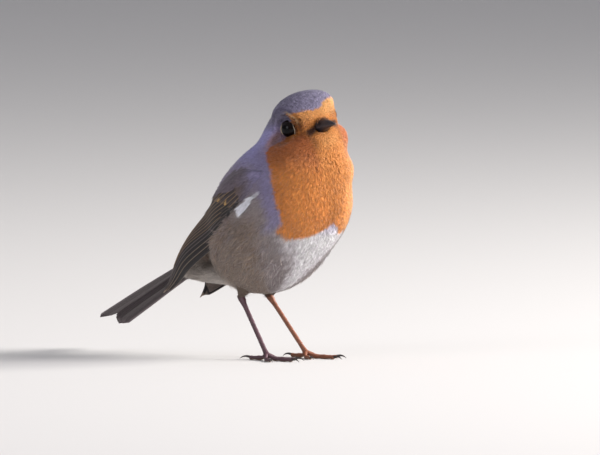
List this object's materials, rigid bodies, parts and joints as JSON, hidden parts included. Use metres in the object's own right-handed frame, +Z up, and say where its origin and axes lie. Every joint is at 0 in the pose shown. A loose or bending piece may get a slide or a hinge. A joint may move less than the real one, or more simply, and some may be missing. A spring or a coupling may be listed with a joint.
{
  "type": "european robin",
  "caption": "Life-size still model of a small round songbird with an orange breast, standing on two thin legs, wings folded and drooped, tail low, head turned.",
  "frame": {"origin": "on the ground under the middle of the whole bird, halfway between bill and tail tip", "axes": "+Z up; the bird faces -Y, so +Y runs to its tail; +X is the bird's left"},
  "size_m": [0.0492, 0.1258, 0.1022],
  "materials": {
    "plumage_back": "soft overlapping feathers, olive-brown above and greyish white below",
    "plumage_breast": "soft overlapping feathers, orange face and breast with a blue-grey border",
    "plumage_thigh": "short soft feathers, grey-buff",
    "flight_feathers": "smooth webbed feathers, dark brown with buff edges",
    "tail_feathers": "smooth webbed feathers, brown with paler edges",
    "bill": "smooth horn, slate black",
    "eye": "wet, glossy, black",
    "leg_skin": "scaled skin, purplish brown, slight sheen",
    "claw": "smooth horn, dark brown"
  },
  "bodies": {
    "root": {"trunk": "plumage_back", "neck": "plumage_breast", "head": "plumage_breast", "bill_upper": "bill", "bill_lower": "bill", "eye_left": "eye", "eye_right": "eye", "wing_left": "flight_feathers", "wing_right": "flight_feathers", "tail": "tail_feathers", "thigh_left": "plumage_thigh", "shank_left": "leg_skin", "toe_left_hind": "leg_skin", "claw_left_hind": "claw", "toe_left_inner": "leg_skin", "claw_left_inner": "claw", "toe_left_middle": "leg_skin", "claw_left_middle": "claw", "toe_left_outer": "leg_skin", "claw_left_outer": "claw", "thigh_right": "plumage_thigh", "shank_right": "leg_skin", "toe_right_hind": "leg_skin", "claw_right_hind": "claw", "toe_right_inner": "leg_skin", "claw_right_inner": "claw", "toe_right_middle": "leg_skin", "claw_right_middle": "claw", "toe_right_outer": "leg_skin", "claw_right_outer": "claw"}
  },
  "joints": []
}
